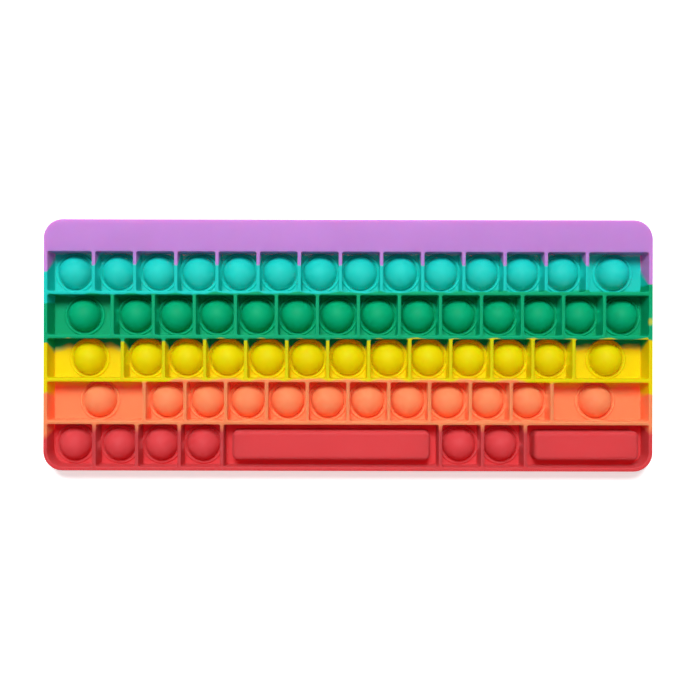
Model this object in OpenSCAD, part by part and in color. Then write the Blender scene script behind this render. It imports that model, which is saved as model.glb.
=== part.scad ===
// Keyboard-shaped bubble-pop toy: one silicone tray in six colour bands, with 59 domes
// and 2 long keys that push through it.
// Millimetres. +X right, +Y to the back of the tray, +Z up; the origin is at the centre
// of the underside.

/* [Tray] */
// Length of the tray, left to right
length = 310; // [280:1:340]
// Depth of the tray, front to back
depth = 128; // [110:1:140]
// Height of the walls and of the plain back strip
height = 12.5; // [8:0.5:18]
// Thickness of the floor under the domes
floor_t = 1.5; // [1:0.1:3]
// Radius of the tray's four corners
corner_r = 9.7; // [4:0.1:16]
// Thickness of the outer rim
rim_t = 2; // [1.2:0.1:4]
// Thickness of the upright walls between neighbouring domes
wall_t = 1.75; // [1:0.05:3]
// Thickness of the long walls between rows
row_wall_t = 1.8; // [1:0.05:3]
// Depth of the plain strip along the back
deck_d = 16.4; // [8:0.2:30]
// Hairline between a long wall and the floor beside it, so that each is a plain solid
seam = 0.02; // [0.01:0.01:0.1]

/* [Rows] */
// Middle of each long wall, measured from the back edge
row_walls = [37.5, 59.8, 81.9, 103.5]; // [20:0.1:115]
// Width of each row's first cell, from the rim to the middle of its wall (rows 1 to 4)
first_cell = [23.4, 33, 38.25, 49.3]; // [20:0.1:60]
// Spacing of the ordinary cells (rows 1 to 4)
cell_pitch = [20.94, 20.87, 20.88, 20.75]; // [18:0.01:24]
// Number of ordinary cells between a row's first and last (rows 1 to 4)
cell_count = [12, 12, 11, 10]; // [6:1:14]
// Widths of the front row's cells but its last, wall middle to wall middle
front_cells = [23.9, 21.67, 21.67, 21.67, 111.2, 21.4, 21.8]; // [18:0.1:120]

/* [Domes] */
// Outer radius of a dome, which is also its height above the floor
dome_r = 8.4; // [6:0.1:10]
// Thickness of a dome's skin
dome_t = 0.9; // [0.5:0.1:1.6]
// Length of the dome's straight skirt below the top of the floor
skirt = 1.1; // [0.5:0.1:1.4]
// Gap between a dome and the edge of its hole
gap = 0.3; // [0.2:0.05:0.6]
// Width of the raised collar round each hole
collar_w = 1.3; // [0.8:0.1:2]
// Height of the collar above the floor
collar_h = 0.9; // [0.4:0.1:2]

/* [Long keys] */
// Space bar: length, depth
space_size = [101.4, 15.4]; // [14:0.1:110]
// Wide key at the right: length, depth
wide_size = [53.8, 15.2]; // [14:0.1:60]
// Height of both keys above the floor
key_h = 9; // [5:0.5:11]
// Radius of the keys' upright corners
key_corner = 2.6; // [1.5:0.1:5]
// Radius along the keys' top edges
key_edge = 1.1; // [0.5:0.1:2]
// Thickness of the keys' skin
key_t = 1.2; // [0.8:0.1:2]

/* [Hidden] */
$fn = 96;
inner_l = length - 2 * rim_t;
inner_left = -length / 2 + rim_t;
back = depth / 2;
rows = 5;
// Back and front edges of each row's clear space, as Y
row_back = [for (r = [0:rows - 1]) back - (r == 0 ? deck_d : row_walls[r - 1] + row_wall_t / 2)];
row_front = [for (r = [0:rows - 1]) r == rows - 1 ? -back + rim_t : back - row_walls[r] + row_wall_t / 2];
row_mid = (row_back + row_front) / 2;
// Where each colour band starts, as Y; the last number is the front of the tray
band_edge = [back, back - deck_d, row_front[0], row_back[2], row_front[2], row_back[4], -back];
band_names = ["purple", "turquoise", "green", "yellow", "orange", "red"];
band_colours = ["#c98fdc", "#45dcd0", "#10b07a", "#ecdc12", "#ff9660", "#dd4548"];
hole_r = dome_r + gap;
collar_r = hole_r + collar_w;

function total(list, n) = n < 1 ? 0 : list[n - 1] + total(list, n - 1);
// Middles of a row's upright walls, measured from the rim's inner left face
function walls_of(r) = r == rows - 1
    ? [for (i = [1:len(front_cells)]) total(front_cells, i)]
    : [for (i = [0:cell_count[r]]) first_cell[r] + i * cell_pitch[r]];
walls = [for (r = [0:rows - 1]) walls_of(r)];
// Left and right faces of a cell, as X
function cell_left(r, c) = inner_left + (c == 0 ? 0 : walls[r][c - 1] + wall_t / 2);
function cell_right(r, c) = inner_left + (c == len(walls[r]) ? inner_l : walls[r][c] - wall_t / 2);
function cell_mid(r, c) = [(cell_left(r, c) + cell_right(r, c)) / 2, row_mid[r]];

// The cells that hold a long key instead of a dome
space_cell = 4;
wide_cell = len(front_cells);
function is_key(r, c) = r == rows - 1 && (c == space_cell || c == wide_cell);
function dome_cells(r) = [for (c = [0:len(walls[r])]) if (!is_key(r, c)) c];

// Domes that share a node: the last two of each upper row, and the front row's in twos
function groups_of(r) = let (d = dome_cells(r), n = len(d)) r == rows - 1
    ? [for (i = [0:2:n - 2]) [i, i + 1]]
    : concat([for (i = [0:n - 3]) [i]], [[n - 2, n - 1]]);
function two(i) = i < 9 ? str("0", i + 1) : str(i + 1);
function dome_name(r, g) = str("dome_r", r + 1, "_", two(g[0]), len(g) > 1 ? str("_", two(g[1])) : "");

// Outline of the tray, moved in by an amount
module outline(inset) {
    r = corner_r - inset;
    for (s = [-1, 1]) {
        square([length - 2 * inset, depth - 2 * corner_r], center = true);
        translate([s * (length / 2 - corner_r), 0]) square([2 * r, depth - 2 * corner_r], center = true);
        for (t = [-1, 1]) translate([s * (length / 2 - corner_r), t * (depth / 2 - corner_r)]) circle(r);
    }
    square([length - 2 * corner_r, depth - 2 * inset], center = true);
}

// Rectangle with rounded corners
module soft_rect(size, r) {
    square([size[0], size[1] - 2 * r], center = true);
    square([size[0] - 2 * r, size[1]], center = true);
    for (s = [-1, 1], t = [-1, 1])
        translate([s * (size[0] / 2 - r), t * (size[1] / 2 - r)]) circle(r);
}

// Upright section of a block whose two top corners are rounded
module soft_section(w, h, r) {
    translate([-w / 2, 0]) square([w, h - r]);
    translate([-w / 2 + r, 0]) square([w - 2 * r, h]);
    for (s = [-1, 1]) translate([s * (w / 2 - r), h - r]) circle(r);
}

// Block with rounded upright corners and a rounded top edge
module soft_block(size, h, corner, edge) {
    rotate([90, 0, 90]) linear_extrude(size[0] - 2 * corner, center = true) soft_section(size[1], h, edge);
    rotate([90, 0, 0]) linear_extrude(size[1] - 2 * corner, center = true) soft_section(size[0], h, edge);
    for (s = [-1, 1], t = [-1, 1])
        translate([s * (size[0] / 2 - corner), t * (size[1] / 2 - corner), 0])
            rotate_extrude() intersection() {
                soft_section(2 * corner, h, edge);
                square([2 * corner, h]);
            }
}

// Opening in the floor, and what stands round it
module hole_shape(r, c) {
    translate(cell_mid(r, c))
        if (is_key(r, c)) soft_rect(key_size(c) + [2 * gap, 2 * gap], key_corner + gap);
        else circle(hole_r);
}
function key_size(c) = c == space_cell ? space_size : wide_size;

module collars(r) {
    translate([0, 0, floor_t - 0.3]) linear_extrude(collar_h + 0.3)
        for (c = dome_cells(r)) intersection() {
            translate(cell_mid(r, c)) difference() { circle(collar_r); circle(hole_r); }
            translate([cell_left(r, c) - wall_t / 4, row_front[r]])
                square([cell_right(r, c) - cell_left(r, c) + wall_t / 2, row_back[r] - row_front[r]]);
        }
}

// The tray's outline between two Y values, full height
module slice(from, to) {
    linear_extrude(height) intersection() {
        outline(0);
        translate([-length / 2, from]) square([length, to - from]);
    }
}

// A row's floor, upright walls and ends of rim
module comb(r) {
    difference() {
        slice(row_front[r], row_back[r]);
        translate([0, 0, floor_t]) linear_extrude(height) for (c = [0:len(walls[r])]) intersection() {
            outline(rim_t);
            translate([cell_left(r, c), row_front[r] - 1])
                square([cell_right(r, c) - cell_left(r, c), row_back[r] - row_front[r] + 2]);
        }
        translate([0, 0, -1]) linear_extrude(floor_t + 2) for (c = [0:len(walls[r])]) hole_shape(r, c);
    }
    collars(r);
}

// One colour of the tray: the plain back strip, or a row with the long walls that it owns
module band(i) {
    color(band_colours[i])
        if (i == 0) slice(band_edge[1], band_edge[0]);
        else {
            comb(i - 1);
            if (band_edge[i] > row_back[i - 1]) slice(row_back[i - 1] + seam, band_edge[i]);
            if (band_edge[i + 1] < row_front[i - 1]) slice(band_edge[i + 1], row_front[i - 1] - seam);
        }
}

// One dome: a hemisphere of skin standing on a short skirt
module dome(r, c) {
    at = cell_mid(r, dome_cells(r)[c]);
    color(band_colours[r + 1]) translate([at[0], at[1], floor_t]) rotate_extrude() difference() {
        union() {
            intersection() { circle(dome_r); square(dome_r); }
            translate([0, -skirt]) square([dome_r, skirt]);
        }
        circle(dome_r - dome_t);
        translate([0, -skirt - 1]) square([dome_r - dome_t, skirt + 1]);
        translate([-dome_r, -dome_r]) square([dome_r, 2 * dome_r]);
    }
}

// One long key: a hollow block, open underneath
module long_key(c) {
    at = cell_mid(rows - 1, c);
    size = key_size(c);
    color(band_colours[rows]) translate([at[0], at[1], floor_t - skirt]) difference() {
        soft_block(size, key_h + skirt, key_corner, key_edge);
        translate([0, 0, -1]) soft_block(size - [2 * key_t, 2 * key_t], key_h + skirt + 1 - key_t,
            key_corner - key_t, key_edge);
    }
}

module space_bar() { long_key(space_cell); }
module wide_key() { long_key(wide_cell); }

// The node to draw, or all of them

for (i = [0:len(band_names) - 1])
    band(i);
for (r = [0:rows - 1]) for (g = groups_of(r))
    for (c = g) dome(r, c);
space_bar();
wide_key();
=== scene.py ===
# %% [markdown]
# # A bubble-pop keyboard in silicone
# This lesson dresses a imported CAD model: a shallow silicone tray in six fused colours, with domes and two
# long keys that pop through it. The CAD gives every size and place. Here the tray becomes one soft-edged
# skin, the domes are grown by Geometry Nodes, and the colours run into each other as pressed silicone does.
# Lengths are in metres, and `MM` turns millimetres into them.

# %% Load the frame
import math

import bmesh
import bpy
import numpy as np
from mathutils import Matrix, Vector
from mathutils.geometry import delaunay_2d_cdt


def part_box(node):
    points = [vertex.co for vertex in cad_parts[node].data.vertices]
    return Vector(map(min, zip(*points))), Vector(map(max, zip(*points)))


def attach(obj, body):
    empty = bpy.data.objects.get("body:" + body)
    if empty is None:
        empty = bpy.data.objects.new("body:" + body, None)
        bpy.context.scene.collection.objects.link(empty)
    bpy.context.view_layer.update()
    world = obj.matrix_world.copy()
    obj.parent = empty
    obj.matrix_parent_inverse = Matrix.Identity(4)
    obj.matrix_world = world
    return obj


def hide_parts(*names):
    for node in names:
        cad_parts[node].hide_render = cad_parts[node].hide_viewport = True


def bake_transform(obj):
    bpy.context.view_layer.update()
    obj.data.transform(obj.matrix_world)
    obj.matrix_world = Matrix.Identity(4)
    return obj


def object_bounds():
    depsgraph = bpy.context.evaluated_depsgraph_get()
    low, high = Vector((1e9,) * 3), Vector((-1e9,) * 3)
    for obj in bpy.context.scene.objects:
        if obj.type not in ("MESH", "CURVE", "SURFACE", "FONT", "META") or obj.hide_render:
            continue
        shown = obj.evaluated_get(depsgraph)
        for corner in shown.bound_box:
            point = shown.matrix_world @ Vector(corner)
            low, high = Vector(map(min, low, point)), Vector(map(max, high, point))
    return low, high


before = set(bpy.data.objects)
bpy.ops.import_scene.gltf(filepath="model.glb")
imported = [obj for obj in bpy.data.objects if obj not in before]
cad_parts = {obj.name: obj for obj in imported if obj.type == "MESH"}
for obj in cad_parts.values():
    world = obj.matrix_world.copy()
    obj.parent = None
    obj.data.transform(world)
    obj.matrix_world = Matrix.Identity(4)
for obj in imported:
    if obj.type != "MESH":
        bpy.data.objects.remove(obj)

MM = 0.001
LOW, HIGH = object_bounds()
BANDS = ["purple", "turquoise", "green", "yellow", "orange", "red"]
TOP = HIGH.z
print("the tray measures", [round(d / MM, 1) for d in HIGH - LOW], "mm")

# %% [markdown]
# ## The camera
# It looks straight down from about 42 cm above the walls. A little sideways shift keeps the tray centred
# while the lens stands left of its middle, so the right-hand cells show more of their walls.

# %% Camera
camera = bpy.data.objects.new("camera", bpy.data.cameras.new("camera"))
bpy.context.scene.collection.objects.link(camera)
bpy.context.scene.camera = camera
camera.location = (-9.2 * MM, -2.4 * MM, TOP + 420 * MM)
camera.rotation_euler.z = math.radians(0.13)
camera.data.sensor_width = 36
camera.data.lens = 42.5
camera.data.shift_x = 0.0286
camera.data.clip_start = 10 * MM
bpy.context.scene.view_settings.view_transform = "Standard"  # strong rubber colours, shown as they are
print("the camera stands", round((camera.location.z - TOP) / MM), "mm above the walls")

# %% [markdown]
# ## Where the cells are
# The CAD walls say where each cell lies. An upright face that reaches the top of the tray and looks along
# +X is a cell's left side, one that looks along -X is its right side, and so on for the rows.

# %% Read the cells from the frame
def upright_faces(node):
    """Directions and middles of a node's upright faces that reach the top of the tray."""
    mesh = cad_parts[node].data
    z = np.array([v.co.z for v in mesh.vertices])
    faces = [p for p in mesh.polygons if abs(p.normal.z) < 1e-3 and z[list(p.vertices)].max() > TOP - 1e-5]
    return np.array([[*p.normal, *p.center] for p in faces])


def places(faces, axis, sign):
    """Where the faces that look along an axis stand, each place once, without the tray's outer sides."""
    found = faces[faces[:, axis] * sign > 0.9999, 3 + axis]
    return np.unique(np.round(found[np.abs(found) < HIGH[axis] - MM / 2], 5))


def centres_of(node):
    """Middles of the one or two domes, or of the one key, in a node."""
    low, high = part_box(node)
    radius, mid_y = (high.y - low.y) / 2, (low.y + high.y) / 2
    if node.startswith("dome") and high.x - low.x > 3 * radius:
        return [(low.x + radius, mid_y), (high.x - radius, mid_y)]
    return [((low.x + high.x) / 2, mid_y)]


BAND_FACES = {b: upright_faces("band_" + b) for b in BANDS}
ALL_FACES = np.concatenate(list(BAND_FACES.values()))
POPPERS = {n: centres_of(n) for n in sorted(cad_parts) if not n.startswith("band")}
CELLS = []
for row, band in enumerate(BANDS[1:], 1):
    row_y = POPPERS[f"dome_r{row}_01" if row < 5 else "dome_r5_01_02"][0][1]
    edges_y = places(ALL_FACES, 1, 1), places(ALL_FACES, 1, -1)
    front, back = edges_y[0][edges_y[0] < row_y].max(), edges_y[1][edges_y[1] > row_y].min()
    for left, right in zip(places(BAND_FACES[band], 0, 1), places(BAND_FACES[band], 0, -1)):
        inside = [(n, c) for n, cs in POPPERS.items() for c in cs if left < c[0] < right and front < c[1] < back]
        CELLS.append({"row": row, "sides": (left, right, front, back), "node": inside[0][0], "mid": inside[0][1]})
print(len(CELLS), "cells in", len(BANDS) - 1, "rows")

# %% [markdown]
# ## Silicone measures
# Moulded silicone has no sharp edges: the mould is milled with round cutters, and its walls lean a little so that
# the rubber comes out. The CAD leaves such small things out, so they are chosen here, and everything larger is
# read from it. The floor's height comes from the domes, which stand on it.

# %% Measures
DOME_LOW, DOME_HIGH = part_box("dome_r1_01")
DOME_R = (DOME_HIGH.y - DOME_LOW.y) / 2
FLOOR = DOME_HIGH.z - DOME_R
TOP_EDGE = 0.35 * MM      # rounding of the walls' top edges
OUTER_EDGE = 0.55 * MM    # rounding of the outside edges
FOOT = 0.5 * MM           # rounding where a wall meets the floor
DRAFT = 0.12 * MM         # how much thicker a wall is at its foot
CELL_CORNER = 1.0 * MM    # upright corners of a cell
TRAY_CORNER = 9.7 * MM    # upright corners of the tray
RIM = HIGH.x - CELLS[13]["sides"][1]
HOLE_R = DOME_R - 0.12 * MM   # the floor runs a little way into the dome's skin, as they are one moulding
GROOVE_R = DOME_R + 0.2 * MM  # where the collar starts
BEAD_R = DOME_R + 2.15 * MM   # where the collar ends
BEAD_H = 0.95 * MM            # height of the collar
KEY_LAP = 0.3 * MM            # how far the floor runs into a long key's skin
KEY_HOLE_CORNER = 2.5 * MM
KEEP_OFF = 0.3 * MM           # flat floor left before a curve, so that its smooth shading doesn't spread
APART = 0.004 * MM            # least distance between two rings of points
print("a dome has a radius of", round(DOME_R / MM, 2), "mm and stands", round(FLOOR / MM, 2), "mm above the table")

# %% [markdown]
# ## Rubber colours
# The toy is pressed from strips of raw silicone in six pigments, which cure into one piece. The five lower
# colours belong to the five rows. A dome and the collar round it are always in their row's pure colour, because
# each row's pits are filled first. Elsewhere the colours run into each other.

# %% Colours
COLOURS = {"purple": "#bd85cf", "turquoise": "#14c4ba", "green": "#00a370", "yellow": "#dcca00",
           "orange": "#fb8b5c", "red": "#ca4549"}


def linear(code):
    """A hex colour, as it is seen, turned into the linear values that shaders use."""
    seen = [int(code[i:i + 2], 16) / 255 for i in (1, 3, 5)]
    return [c / 12.92 if c <= 0.04045 else ((c + 0.055) / 1.055) ** 2.4 for c in seen] + [1.0]


print({name: [round(c, 3) for c in linear(code)[:3]] for name, code in COLOURS.items()})

# %% [markdown]
# ## From points to a closed object
# `make` turns points and faces into a smooth, closed object with its faces outwards. Building a mesh from its
# points, rather than by modifiers, gives exact control of every edge, and a cell is always the same set of rings.

# %% Closed objects
def make(name, points, faces, own=None):
    """A closed object from points and faces. own gives each point a colour, kept as the attribute "own colour"."""
    mesh = bpy.data.meshes.new(name)
    mesh.from_pydata([tuple(p) for p in points], [], faces)
    if own is not None:
        colours = mesh.attributes.new("own colour", "FLOAT_COLOR", "POINT")
        colours.data.foreach_set("color", np.array(own, "f").ravel())
    return tidy(bpy.data.objects.new(name, mesh))


def tidy(obj):
    """Joins loose points, turns the faces outwards, smooths them and says if the mesh isn't closed."""
    mesh = bmesh.new()
    mesh.from_mesh(obj.data)
    bmesh.ops.remove_doubles(mesh, verts=mesh.verts, dist=1e-6)
    bmesh.ops.delete(mesh, geom=[e for e in mesh.edges if e.is_wire], context="EDGES")
    bmesh.ops.recalc_face_normals(mesh, faces=mesh.faces)
    for face in mesh.faces:
        face.smooth = True
    open_edges = sum(len(e.link_faces) != 2 for e in mesh.edges)
    if open_edges:
        print(obj.name, "has", open_edges, "open edges")
    mesh.to_mesh(obj.data)
    mesh.free()
    if not obj.users_collection:
        bpy.context.scene.collection.objects.link(obj)
    return obj


# %% [markdown]
# ## Rounded rectangles
# Nearly every outline on the toy is a rectangle with round corners, and a signed distance describes it well: it is
# below zero inside, above zero outside, and moving the outline in is only a subtraction. `reach` uses it to find
# how far each ray from a cell's middle goes before it meets the outline, moved in by `inset`.

# %% Outlines
def rounded(points, sides, radii):
    """Signed distance to a rounded rectangle. The radii are for its left-front, right-front, left-back and
    right-back corners."""
    left, right, front, back = sides
    p = points - np.array([(left + right) / 2, (front + back) / 2])
    radius = np.array(radii)[(p[:, 0] > 0) + 2 * (p[:, 1] > 0)]
    d = np.abs(p) - np.array([(right - left) / 2, (back - front) / 2]) + radius[:, None]
    return np.minimum(d.max(1), 0) + np.linalg.norm(np.maximum(d, 0), axis=1) - radius


def reach(middle, ways, sides, radii, inset):
    """How far each ray goes, found by halving the range 36 times."""
    near, far = np.zeros(len(ways)), np.full(len(ways), 0.3)
    for _ in range(36):
        half = (near + far) / 2
        out = rounded(middle + ways * half[:, None], sides, radii) > -inset
        near, far = np.where(out, near, half), np.where(out, half, far)
    return near


def corner_angles(middle, sides, radii, steps=4):
    """Directions from the middle to points along each rounded corner."""
    left, right, front, back = sides
    found = []
    for i, radius in enumerate(radii):
        sx, sy = (1 if i % 2 else -1), (1 if i > 1 else -1)
        x = (right if sx > 0 else left) - sx * radius
        y = (back if sy > 0 else front) - sy * radius
        for k in range(steps):
            a = math.pi / 2 * k / (steps - 1)
            dx, dy = x + sx * radius * math.cos(a) - middle[0], y + sy * radius * math.sin(a) - middle[1]
            found.append(math.atan2(dy, dx))
    return found


# %% Loops
def rounded_loop(sides, radius, around=10, along=12):
    """Points round a rounded rectangle, the same number whatever its size, so that two loops can be joined."""
    left, right, front, back = sides
    points = []
    for i, (x, y) in enumerate([(right, back), (left, back), (left, front), (right, front)]):
        cx = x - math.copysign(radius, x - (left + right) / 2)
        cy = y - math.copysign(radius, y - (front + back) / 2)
        angles = np.linspace(i, i + 1, around) * math.pi / 2
        turn = [(cx + radius * math.cos(a), cy + radius * math.sin(a)) for a in angles]
        if points:
            start = np.array(points[-1])
            points += [tuple(start + (np.array(turn[0]) - start) * k / along) for k in range(1, along)]
        points += turn
    start, end = np.array(points[-1]), np.array(points[0])
    return points + [tuple(start + (end - start) * k / along) for k in range(1, along)]


def arc(radius, steps):
    """A quarter round, as (how far in, how far down) pairs from its top."""
    angles = np.linspace(0, math.pi / 2, steps)
    return [(radius * math.sin(a) - radius, radius * (1 - math.cos(a))) for a in angles]


# %% [markdown]
# ## The tray
# Each cell is a fan of rays from its middle. Going outwards, every ray passes the rim of the hole, the
# raised collar, the floor, the rounded foot of the wall, the wall and its rounded top edge. Where a cell
# is narrow the collar runs into the wall, so the higher of the two surfaces wins.
# The flat tops of the walls and the flat underside are then filled between the fans.

# %% The rays of one cell
def bead(r):
    """Height of the collar above the floor at a distance from the dome's axis."""
    s = np.clip((r - GROOVE_R) / (BEAD_R - GROOVE_R), 0, 1)
    return BEAD_H * np.sin(math.pi * s ** 1.6) ** 0.8


def cell_radii(sides):
    """A cell's corner radii: the ones that lie in the tray's own corners are wider."""
    left, right, front, back = sides
    at_front = front < LOW.y + RIM + MM
    return [TRAY_CORNER - RIM if at_front and left < LOW.x + RIM + MM else CELL_CORNER,
            TRAY_CORNER - RIM if at_front and right > HIGH.x - RIM - MM else CELL_CORNER, CELL_CORNER, CELL_CORNER]


def key_hole(node):
    """Sides and corner radii of the hole under a long key."""
    low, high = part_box(node)
    return (low.x + KEY_LAP, high.x - KEY_LAP, low.y + KEY_LAP, high.y - KEY_LAP), [KEY_HOLE_CORNER] * 4


def rays(cell, radii):
    """Directions from a cell's middle outwards, with more of them where the outlines turn."""
    sides, middle = cell["sides"], cell["mid"]
    if cell["node"].startswith("dome"):
        angles = list(np.linspace(-math.pi, math.pi, 48, endpoint=False)) + corner_angles(middle, sides, radii)
    else:
        left, right, front, back = sides
        off = 4 * MM  # the points along the sides start this far from the corners
        side_points = [(x, y) for x in np.linspace(left + off, right - off, 18) for y in (front, back)]
        side_points += [(x, y) for y in np.linspace(front + off, back - off, 4) for x in (left, right)]
        angles = [math.atan2(y - middle[1], x - middle[0]) for x, y in side_points]
        angles += corner_angles(middle, *key_hole(cell["node"]), 6) + corner_angles(middle, sides, radii, 6)
    angles = np.unique(np.round(angles, 3))
    return np.stack([np.cos(angles), np.sin(angles)], 1)


print("the first cell has", len(rays(CELLS[0], cell_radii(CELLS[0]["sides"]))), "rays")


# %% The rings of one cell
def fan(cell):
    """Rings of a cell from the underside, up through the hole and out to the wall's top, as (x, y, z) arrays, and
    how much of each ring is in the cell's pure colour."""
    sides, middle = cell["sides"], np.array(cell["mid"])
    radii = cell_radii(sides)
    ways = rays(cell, radii)
    is_key = not cell["node"].startswith("dome")
    wall = lambda inset: reach(middle, ways, sides, radii, inset)

    if is_key:
        edge = reach(middle, ways, *key_hole(cell["node"]), 0)
        rings = [(edge, 0 * edge), (edge, FLOOR + 0 * edge), (edge + 0.2 * MM, FLOOR + 0 * edge)]
        lift = lambda r: 0 * r
    else:
        limit = np.minimum(BEAD_R, wall(0.03 * MM))
        rings = [(np.full(len(ways), HOLE_R), np.full(len(ways), z)) for z in (0, FLOOR)]
        for s in (0, 0.15, 0.3, 0.45, 0.6, 0.75, 0.9, 1):
            r = GROOVE_R + (limit - GROOVE_R) * s
            rings.append((r, FLOOR + bead(r)))
        lift = bead
    # flat floor just before each curve
    for r in (edge + 0.4 * MM if is_key else limit + KEEP_OFF, wall(DRAFT + FOOT + KEEP_OFF)):
        r = np.clip(r, rings[-1][0] + APART, wall(0.02 * MM))
        rings.append((r, FLOOR + lift(r)))
    for into, down in arc(FOOT, 5)[::-1]:
        r = np.maximum(wall(DRAFT - into), rings[-1][0] + APART)
        rings.append((r, FLOOR + np.maximum(FOOT - down, lift(r))))
    for into, down in arc(TOP_EDGE, 5)[::-1]:
        rings.append((wall(into), 0 * rings[-1][0] + TOP - down))
    own = [1, 1, 1] if is_key else [1] * 8 + [0.7, 0.2]
    own += [0] * (len(rings) - len(own))
    return [np.column_stack([middle + ways * r[:, None], z]) for r, z in rings], own


# %% Join the cells into one skin
def flat_fill(points, loops):
    """Triangles of a flat region: inside the first loop and outside the others. Loops are lists of point
    numbers."""
    numbers = [i for loop in loops for i in loop]
    local = {n: k for k, n in enumerate(numbers)}
    flat = [Vector(points[n][:2]) for n in numbers]
    result = delaunay_2d_cdt(flat, [], [[local[n] for n in loop] for loop in loops], 1, 1e-9)
    first = [numbers[o[0]] for o in result[3]]
    return [[first[v] for v in face] for face, came_from in zip(result[2], result[5]) if came_from == [0]]


points, faces, own_colours = [], [], []


def add_rings(rings, own, colour):
    """Adds rings of equal count and joins neighbours with quads; returns the first and last ring's point numbers.
    own says how much of each ring is in the cell's pure colour."""
    numbers = []
    for ring, share in zip(rings, own):
        numbers.append(list(range(len(points), len(points) + len(ring))))
        points.extend(ring)
        own_colours.extend([[*linear(COLOURS[colour])[:3], share]] * len(ring))
    for a, b in zip(numbers, numbers[1:]):
        faces.extend([a[k], a[(k + 1) % len(a)], b[(k + 1) % len(a)], b[k]] for k in range(len(a)))
    return numbers[0], numbers[-1]


edge_steps = arc(OUTER_EDGE, 6)
shell = [(-into, TOP - down) for into, down in edge_steps] + [(-into, down) for into, down in edge_steps][::-1]
rings = []
for inset, z in shell:
    sides = [LOW.x + inset, HIGH.x - inset, LOW.y + inset, HIGH.y - inset]
    loop = rounded_loop(sides, TRAY_CORNER - inset, 12, 20)
    rings.append(np.array([(x, y, z) for x, y in loop]))
outer_top, outer_bottom = add_rings(rings, [0] * len(rings), "purple")
ends = [add_rings(*fan(cell), BANDS[cell["row"]]) for cell in CELLS]
faces += flat_fill(points, [outer_top] + [top for _, top in ends])
faces += flat_fill(points, [outer_bottom] + [bottom for bottom, _ in ends])
tray = make("tray", points, faces, own_colours)
print("tray:", len(tray.data.polygons), "faces")

# %% [markdown]
# ## Silicone
# All the pieces are the same matt silicone rubber, moulded in different colours. Light sinks into it, and red
# light goes the furthest, so the warm colours stay bright in the shadows. The mould leaves a fine grain, drawn
# here at half a millimetre, coarser than it is, so that it shows, and faint rings from the turning of the domes'
# pits. The pigment is a little cloudy, in patches of about 2 cm. All of it is laid out in object coordinates.

# %% Adding a node
def add(tree, kind, inputs={}, **settings):
    """Adds a node. A socket among the inputs is linked, a node is linked by its first output, and anything else
    is set as a value."""
    made = tree.nodes.new(kind)
    for key, value in settings.items():
        setattr(made, key, value)
    for key, value in inputs.items():
        if isinstance(value, bpy.types.Node):
            value = value.outputs[0]
        if isinstance(value, bpy.types.NodeSocket):
            tree.links.new(value, made.inputs[key])
        else:
            made.inputs[key].default_value = value
    return made


MATH = "ShaderNodeMath"

# %% The silicone material
def silicone(name, colour_of):
    """Matt silicone. colour_of(tree, position) gives the socket or the value of its base colour."""
    material = bpy.data.materials.new(name)
    material.use_nodes = True
    tree = material.node_tree
    tree.nodes.clear()
    place = add(tree, "ShaderNodeTexCoord").outputs["Object"]
    grain = add(tree, "ShaderNodeTexNoise", {"Vector": place, "Scale": 1 / (0.5 * MM), "Detail": 3.0, "Roughness": 0.6})
    cloud = add(tree, "ShaderNodeTexNoise", {"Vector": place, "Scale": 1 / (22 * MM), "Detail": 3.0})
    shade = add(tree, "ShaderNodeMapRange", {
        "Value": cloud, "From Min": 0.3, "From Max": 0.7, "To Min": 0.97, "To Max": 1.02})
    colour = add(tree, "ShaderNodeHueSaturation", {"Value": shade, "Color": colour_of(tree, place)})
    z = add(tree, "ShaderNodeSeparateXYZ", {"Vector": place}).outputs[2]
    rings = add(tree, MATH, {0: z, 1: 2 * math.pi / (0.85 * MM)}, operation="MULTIPLY")
    rings = add(tree, MATH, {0: rings}, operation="SINE")
    relief = add(tree, MATH, {0: rings, 1: 0.12, 2: grain}, operation="MULTIPLY_ADD")
    bump = add(tree, "ShaderNodeBump", {"Height": relief, "Strength": 0.12, "Distance": 0.06 * MM})
    rough = add(tree, "ShaderNodeMapRange", {
        "Value": grain, "From Min": 0.3, "From Max": 0.7, "To Min": 0.52, "To Max": 0.64})
    surface = add(tree, "ShaderNodeBsdfPrincipled", {
        "Base Color": colour, "Roughness": rough, "Normal": bump,
        "IOR": 1.41, "Specular IOR Level": 0.15, "Subsurface Weight": 0.85, "Subsurface Radius": (1.0, 0.4, 0.45),
        "Subsurface Scale": 7 * MM})
    add(tree, "ShaderNodeOutputMaterial", {"Surface": surface})
    return material


# %% [markdown]
# ## Where the colours meet
# Each border between two colours has a height on the tray's Y axis. It sits at one place on the wall tops and
# at another on the floor, it bulges towards the colour above at every dome, it wanders with a slow noise,
# and it runs further down the rim at each end.

# %% Places of the borders
ROW = {row: [c for c in CELLS if c["row"] == row] for row in range(1, 6)}
row_back = {row: cells[0]["sides"][3] for row, cells in ROW.items()}
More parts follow.
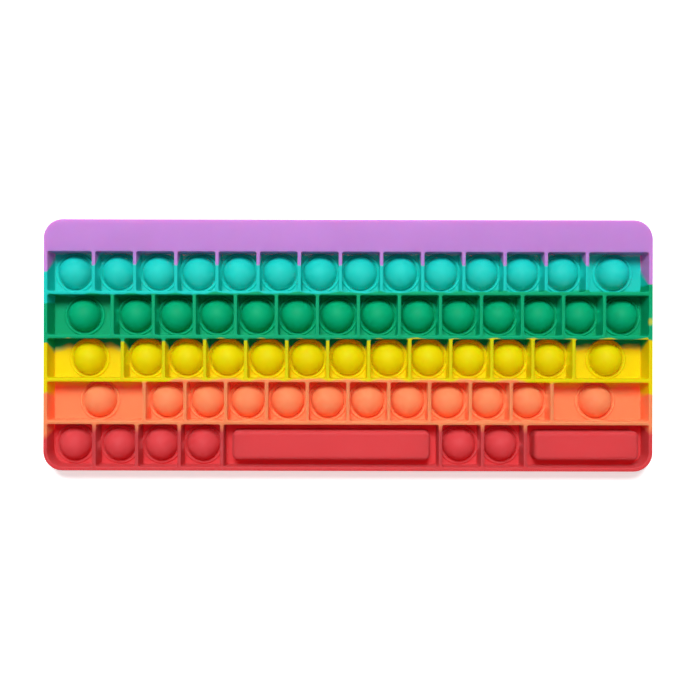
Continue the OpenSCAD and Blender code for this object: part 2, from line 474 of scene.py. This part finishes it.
# For each colour: its border's Y on the wall tops and on the floors, how much further back it lies at the right
# end, in the middle and over each dome (or wall), how far it falls back in the corners of the floor, how much it
# drops on the rim at each end, and how softly it fades on the tops and on the floors. All in millimetres.
BORDERS = {
    "turquoise": dict(row=1, top=-7.0, floor=1.2, bump=0.4, left=-3.4, right=-10.5, fade=1.0, floor_fade=4.5),
    "green": dict(row=2, top=1.0, floor=1.4, right_end=1.45, bump=0.8, left=-4.6, right=3.0, fade=0.6, floor_fade=1.5),
    "yellow": dict(row=3, top=-0.8, floor=-3.9, right_end=0.6, bump=1.1, drift=0.5, corners=-1.4, left=-1.0, right=-1.0,
                   fade=0.7, floor_fade=3.6),
    "orange": dict(row=4, top=-0.4, floor=-1.4, middle=1.9, bump=-0.9, over_row=3, shift=0.5, left=-5.0, right=-5.0,
                   fade=1.2, floor_fade=4.0),
    "red": dict(row=5, top=-2.2, floor=0.4, bump=0.4, left=-4.1, right=-1.0, fade=4.0, floor_fade=1.5),
}
WANDER = 2.4 * MM  # how far a border strays, from one side to the other
print({row: len(cells) for row, cells in ROW.items()}, "cells in each row")


# %% Colour of the tray
def tray_colour(tree, place):
    """The colour socket of the tray: from the back to the front, each colour is laid over those behind it."""
    x, y, z = add(tree, "ShaderNodeSeparateXYZ", {"Vector": place}).outputs
    wander = add(tree, "ShaderNodeTexNoise", {"Vector": place, "Scale": 1 / (9 * MM), "Detail": 3.0})
    height = add(tree, "ShaderNodeMapRange", {"Value": z, "From Min": FLOOR, "From Max": TOP})
    depth = add(tree, MATH, {0: 1.0, 1: height}, operation="SUBTRACT")
    rim, soft = HIGH.x - RIM - 0.7 * MM, 0.5 * MM
    on_left = add(tree, "ShaderNodeMapRange", {"Value": x, "From Min": -rim, "From Max": -rim - soft})
    on_right = add(tree, "ShaderNodeMapRange", {"Value": x, "From Min": rim, "From Max": rim + soft})
    away = add(tree, MATH, {0: x}, operation="ABSOLUTE")
    middle = add(tree, "ShaderNodeMapRange", {"Value": away, "From Min": 98 * MM, "From Max": 86 * MM})

    def peaks(row, shift, drift):
        """1 over the row's domes and 0 between them; drift is how many domes' spacing it slips along the tray."""
        first, second = ROW[row][2]["mid"][0], ROW[row][3]["mid"][0]
        turns = add(tree, MATH, {0: x, 1: first}, operation="SUBTRACT")
        turns = add(tree, MATH, {0: turns, 1: (second - first) / (1 + drift / 8)}, operation="DIVIDE")
        turns = add(tree, MATH, {0: turns, 1: shift}, operation="ADD")
        angle = add(tree, MATH, {0: turns, 1: 2 * math.pi}, operation="MULTIPLY")
        wave = add(tree, MATH, {0: angle}, operation="COSINE")
        wave = add(tree, MATH, {0: wave, 1: 0.5, 2: 0.5}, operation="MULTIPLY_ADD")
        return add(tree, MATH, {0: wave, 1: 3.0}, operation="POWER")

    colour = linear(COLOURS["purple"])
    for name, border in BORDERS.items():
        get = lambda key: border.get(key, 0.0) * MM
        start = row_back[border["row"]] + get("floor") - WANDER / 2
        line = add(tree, MATH, {0: height, 1: get("top") - get("floor"), 2: start}, operation="MULTIPLY_ADD")
        over = peaks(border.get("over_row", border["row"]), border.get("shift", 0.0), border.get("drift", 0.0))
        terms = [(x, get("right_end") / HIGH.x), (middle, get("middle")), (on_left, get("left"))]
        terms += [(on_right, get("right")), (over, get("bump")), (wander, WANDER)]
        if "corners" in border:
            gaps = add(tree, MATH, {0: 1.0, 1: peaks(border["row"], 0.0, 0.0)}, operation="SUBTRACT")
            terms.append((add(tree, MATH, {0: gaps, 1: depth}, operation="MULTIPLY"), get("corners")))
        for value, amount in terms:
            if amount:
                line = add(tree, MATH, {0: value, 1: amount, 2: line}, operation="MULTIPLY_ADD")
        fade = add(tree, MATH, {0: depth, 1: get("floor_fade") - get("fade"), 2: get("fade")}, operation="MULTIPLY_ADD")
        below = add(tree, MATH, {0: line, 1: y}, operation="SUBTRACT")
        below = add(tree, MATH, {0: below, 1: fade}, operation="DIVIDE")
        below = add(tree, MATH, {0: below, 1: 0.5}, operation="ADD", use_clamp=True)
        front = linear(COLOURS[name])
        colour = add(tree, "ShaderNodeMix", {0: below, 6: colour, 7: front}, data_type="RGBA").outputs[2]
    # a stray drop of yellow on the right rim, in the green
    drop_at = (HIGH.x - 1.4 * MM, 12.3 * MM, TOP)
    apart = add(tree, "ShaderNodeVectorMath", {0: place, 1: drop_at}, operation="DISTANCE").outputs["Value"]
    drop = add(tree, "ShaderNodeMapRange", {"Value": apart, "From Min": 2.4 * MM, "From Max": 0.8 * MM, "To Max": 0.6})
    yellow = linear(COLOURS["yellow"])
    colour = add(tree, "ShaderNodeMix", {0: drop, 6: colour, 7: yellow}, data_type="RGBA").outputs[2]
    own = add(tree, "ShaderNodeAttribute", attribute_name="own colour").outputs
    return add(tree, "ShaderNodeMix", {0: own["Alpha"], 6: colour, 7: own["Color"]}, data_type="RGBA").outputs[2]


# %% Colour the tray and put it in the frame
tray.data.materials.append(silicone("silicone rubber, six colours", tray_colour))
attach(tray, "tray")
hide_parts(*["band_" + b for b in BANDS])

PLAIN = {b: silicone(f"silicone rubber, {b}", lambda tree, place, b=b: linear(COLOURS[b])) for b in BANDS[1:]}
print("materials:", [m.name for m in bpy.data.materials])

# %% [markdown]
# ## The domes
# A dome is a thin half ball of skin that snaps through to the other side. One Geometry Nodes tree grows them all,
# because they differ only in place and colour. A grid is bent into a double skin: its rows run down the outside of
# the dome, round the foot and up the inside, and its columns run round the axis. The foot flares out and down into
# the floor. The tree puts one dome on each point that it is given.

# %% Sockets of the dome tree
def dome_sockets(tree):
    """Gives the tree its inputs, with their usual values, and its output."""
    face = tree.interface
    face.new_socket("Points", in_out="INPUT", socket_type="NodeSocketGeometry")
    for name, value in (("Radius", DOME_R), ("Skin", 0.9 * MM), ("Flare", 0.4 * MM), ("Drop", 0.5 * MM)):
        face.new_socket(name, in_out="INPUT", socket_type="NodeSocketFloat").default_value = value
    for name, value in (("Around", 48), ("Up", 16)):
        face.new_socket(name, in_out="INPUT", socket_type="NodeSocketInt").default_value = value
    face.new_socket("Material", in_out="INPUT", socket_type="NodeSocketMaterial")
    face.new_socket("Domes", in_out="OUTPUT", socket_type="NodeSocketGeometry")


# %% Shape of the dome's skin
def bent_skin(tree, given):
    """A grid, and the place of each of its points on the double skin of a dome."""
    rows = add(tree, MATH, {0: given["Up"], 1: 2.0, 2: 2.0}, operation="MULTIPLY_ADD")
    columns = add(tree, MATH, {0: given["Around"], 1: 1.0}, operation="ADD")
    grid = add(tree, "GeometryNodeMeshGrid", {
        "Size X": 1.0, "Size Y": 1.0, "Vertices X": columns, "Vertices Y": rows})
    spot = add(tree, "ShaderNodeSeparateXYZ", {0: add(tree, "GeometryNodeInputPosition")}).outputs
    turn = add(tree, MATH, {0: spot[0], 1: 0.5}, operation="ADD")
    turn = add(tree, MATH, {0: turn, 1: 2 * math.pi}, operation="MULTIPLY")
    last = add(tree, MATH, {0: rows, 1: 1.0}, operation="SUBTRACT")
    step = add(tree, MATH, {0: spot[1], 1: 0.5}, operation="ADD")
    step = add(tree, MATH, {0: step, 1: last}, operation="MULTIPLY")
    half_way = add(tree, MATH, {0: given["Up"], 1: 0.5}, operation="ADD")
    inner = add(tree, MATH, {0: step, 1: half_way}, operation="GREATER_THAN")
    # up is 1 at the top of the dome and 0 at its foot, on both skins
    foot_step = add(tree, MATH, {0: given["Up"], 1: inner}, operation="ADD")
    past_foot = add(tree, MATH, {0: step, 1: foot_step}, operation="SUBTRACT")
    past_foot = add(tree, MATH, {0: past_foot}, operation="ABSOLUTE")
    up = add(tree, MATH, {0: past_foot, 1: given["Up"]}, operation="DIVIDE")
    slope = add(tree, MATH, {0: up, 1: 1.5}, operation="POWER")
    slope = add(tree, MATH, {0: slope, 1: math.pi / 2}, operation="MULTIPLY")
    thinner = add(tree, MATH, {0: given["Skin"], 1: inner}, operation="MULTIPLY")
    size = add(tree, MATH, {0: given["Radius"], 1: thinner}, operation="SUBTRACT")
    near_foot = add(tree, "ShaderNodeMapRange", {"Value": up, "From Min": 0.2, "From Max": 0.0})
    foot = add(tree, MATH, {0: near_foot, 1: 2.0}, operation="POWER")
    flare = add(tree, MATH, {0: given["Flare"], 1: foot}, operation="MULTIPLY")
    drop = add(tree, MATH, {0: given["Drop"], 1: foot}, operation="MULTIPLY")
    out = add(tree, MATH, {0: slope}, operation="COSINE")
    out = add(tree, MATH, {0: out, 1: size, 2: flare}, operation="MULTIPLY_ADD")
    rise = add(tree, MATH, {0: slope}, operation="SINE")
    rise = add(tree, MATH, {0: rise, 1: size}, operation="MULTIPLY")
    rise = add(tree, MATH, {0: rise, 1: drop}, operation="SUBTRACT")
    x = add(tree, MATH, {0: add(tree, MATH, {0: turn}, operation="COSINE"), 1: out}, operation="MULTIPLY")
    y = add(tree, MATH, {0: add(tree, MATH, {0: turn}, operation="SINE"), 1: out}, operation="MULTIPLY")
    return grid, add(tree, "ShaderNodeCombineXYZ", {0: x, 1: y, 2: rise})


# %% The dome tree
def dome_tree():
    """The node tree that turns points into domes."""
    tree = bpy.data.node_groups.new("dome skin", "GeometryNodeTree")
    dome_sockets(tree)
    given = add(tree, "NodeGroupInput").outputs
    grid, bent = bent_skin(tree, given)
    skin = add(tree, "GeometryNodeSetPosition", {"Geometry": grid, "Position": bent})
    whole = add(tree, "GeometryNodeMergeByDistance", {"Geometry": skin, "Distance": 1e-6})
    put = add(tree, "GeometryNodeInstanceOnPoints", {"Points": given["Points"], "Instance": whole})
    real = add(tree, "GeometryNodeRealizeInstances", {0: put})
    painted = add(tree, "GeometryNodeSetMaterial", {"Geometry": real, "Material": given["Material"]})
    add(tree, "NodeGroupOutput", {0: painted})
    return tree


DOME_TREE = dome_tree()
print("the dome tree has", len(DOME_TREE.nodes), "nodes")


# %% Running the tree
def grown(name, tree, spots, **inputs):
    """Runs a tree on some points, and returns the result as a plain mesh object."""
    mesh = bpy.data.meshes.new(name)
    mesh.from_pydata(spots, [], [])
    obj = bpy.data.objects.new(name, mesh)
    bpy.context.scene.collection.objects.link(obj)
    modifier = obj.modifiers.new("grow", "NODES")
    modifier.node_group = tree
    for item in tree.interface.items_tree:
        if item.in_out == "INPUT" and item.name in inputs:
            modifier[item.identifier] = inputs[item.name]
    done = bpy.data.meshes.new_from_object(obj.evaluated_get(bpy.context.evaluated_depsgraph_get()))
    obj.modifiers.clear()
    obj.data = done
    bpy.data.meshes.remove(mesh)
    done.name = name
    return tidy(obj)


# %% Grow the domes
row_colour = {cell["node"]: BANDS[cell["row"]] for cell in CELLS}
domes = [node for node in POPPERS if node.startswith("dome")]
for node in domes:
    centres = POPPERS[node]
    dome = grown("skin_" + node, DOME_TREE, [(x, y, FLOOR) for x, y in centres], Material=PLAIN[row_colour[node]])
    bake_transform(dome)
    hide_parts(node)
print(len(domes), "dome pieces")

# %% [markdown]
# ## The long keys
# A key is a long membrane with a flat top. Its loops run up the outside, over the rounded edge to the middle,
# and down the inside. Like a dome, the real key turns inside out when it is pressed.

# %% A key's section
KEY_SKIN, KEY_EDGE, KEY_CORNER = 1.2 * MM, 2.0 * MM, 3.0 * MM
KEY_LEAN, KEY_FLARE, KEY_DROP = 0.2 * MM, 0.4 * MM, 0.5 * MM  # in at the top, out and down at the foot


def key_section(tall):
    """(how far in, height above the floor) up the outside and over the top edge, then back down the inside."""
    side = []
    for t in np.linspace(0, 1, 14) * (1 - KEY_EDGE / tall):
        foot = max(0, 1 - t / 0.1) ** 2
        side.append((KEY_LEAN * t - KEY_FLARE * foot, tall * t - KEY_DROP * foot))
    top = [(side[-1][0] - into, tall - down) for into, down in arc(KEY_EDGE, 6)[::-1]]
    top.append((top[-1][0] + 0.8 * MM, tall))
    outer = side[:-1] + top
    return outer, [(inset + KEY_SKIN, z - KEY_SKIN * (z / tall)) for inset, z in outer][::-1]


# %% Keys
def key(node):
    """Builds a long key from loops along its section, and hides the CAD key that it replaces."""
    low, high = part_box(node)
    outer, inner = key_section(high.z - FLOOR)
    loops = []
    for inset, z in outer + inner:
        sides = [low.x + inset, high.x - inset, low.y + inset, high.y - inset]
        loop = rounded_loop(sides, max(KEY_CORNER - inset, 0.3 * MM), 7, 10)
        loops.append([(x, y, FLOOR + z) for x, y in loop])
    count, last = len(loops[0]), len(outer) - 1  # the last outer loop and the first inner one are capped, not joined
    quads = []
    for a in range(len(loops)):
        b = (a + 1) % len(loops)
        if a != last:
            quads += [[a * count + k, a * count + (k + 1) % count, b * count + (k + 1) % count, b * count + k]
                      for k in range(count)]
    caps = [list(range(n * count, (n + 1) * count)) for n in (last, last + 1)]
    piece = make("skin_" + node, [p for loop in loops for p in loop], quads + caps)
    piece.data.materials.append(PLAIN["red"])
    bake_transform(piece)
    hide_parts(node)
    return piece


for node in ("space_bar", "wide_key"):
    print(node, "has", len(key(node).data.polygons), "faces")

# %% [markdown]
# ## Floor and light
# A plain white floor that glows a little, as a light table does, one broad soft light from behind the tray and
# above it, and a dim even sky. Under the tray the floor has a pit, which nobody sees, so that the domes and keys
# have room to hang out of the underside when they are pressed.

# %% Paper
def white():
    """Matt white paper. Away from the tray it glows as brightly as the sky, so that no horizon shows."""
    material = bpy.data.materials.new("white paper")
    material.use_nodes = True
    tree = material.node_tree
    paper = tree.nodes["Principled BSDF"]
    paper.inputs["Base Color"].default_value = linear("#ffffff")
    paper.inputs["Roughness"].default_value = 0.9
    paper.inputs["Emission Color"].default_value = (1, 1, 1, 1)
    place = add(tree, "ShaderNodeTexCoord").outputs["Object"]
    away = add(tree, "ShaderNodeVectorMath", {0: place}, operation="LENGTH").outputs["Value"]
    glow = add(tree, "ShaderNodeMapRange", {
        "Value": away, "From Min": 0.3, "From Max": 0.9, "To Min": 0.55, "To Max": 1.0})
    tree.links.new(glow.outputs[0], paper.inputs["Emission Strength"])
    return material


# %% Floor with a pit
def rectangle(x, y, z):
    """Corners of a level rectangle around the origin, in order."""
    return [(-x, -y, z), (x, -y, z), (x, y, z), (-x, y, z)]


WIDE, PIT_DEEP = 4, 30 * MM
pit_x, pit_y = HIGH.x - 6 * MM, HIGH.y - 6 * MM
corners = rectangle(WIDE, WIDE, 0) + rectangle(pit_x, pit_y, 0) + rectangle(pit_x, pit_y, -PIT_DEEP)
sheets = [[a + k, a + (k + 1) % 4, a + 4 + (k + 1) % 4, a + 4 + k] for a in (0, 4) for k in range(4)]
floor = make("floor", corners, sheets + [[8, 9, 10, 11]])
floor.location.z = -0.1 * MM
floor.data.materials.append(white())
print("the floor is", 2 * WIDE, "m wide, with a pit of", round(2 * pit_x / MM), "by", round(2 * pit_y / MM), "mm")


# %% Light and sky
def soft_light(name, place, size, watts):
    """A round area light at a place, turned to the origin."""
    light = bpy.data.objects.new(name, bpy.data.lights.new(name, "AREA"))
    bpy.context.scene.collection.objects.link(light)
    light.data.shape, light.data.size, light.data.energy = "DISK", size, watts
    light.location = place
    light.rotation_euler = (-Vector(place)).to_track_quat("-Z", "Y").to_euler()
    print(name, "stands", round(Vector(place).length, 2), "m away")


soft_light("back soft box", (-0.08, 0.52, 1.0), 0.45, 13.8)
world = bpy.data.worlds.new("studio")
bpy.context.scene.world = world
world.use_nodes = True
sky = world.node_tree
seen = add(sky, "ShaderNodeLightPath").outputs["Is Camera Ray"]
bright = add(sky, "ShaderNodeMapRange", {"Value": seen, "To Min": 0.2, "To Max": 1.0}).outputs[0]
sky.links.new(bright, sky.nodes["Background"].inputs["Strength"])
sky.nodes["Background"].inputs["Color"].default_value = (1, 1, 1, 1)
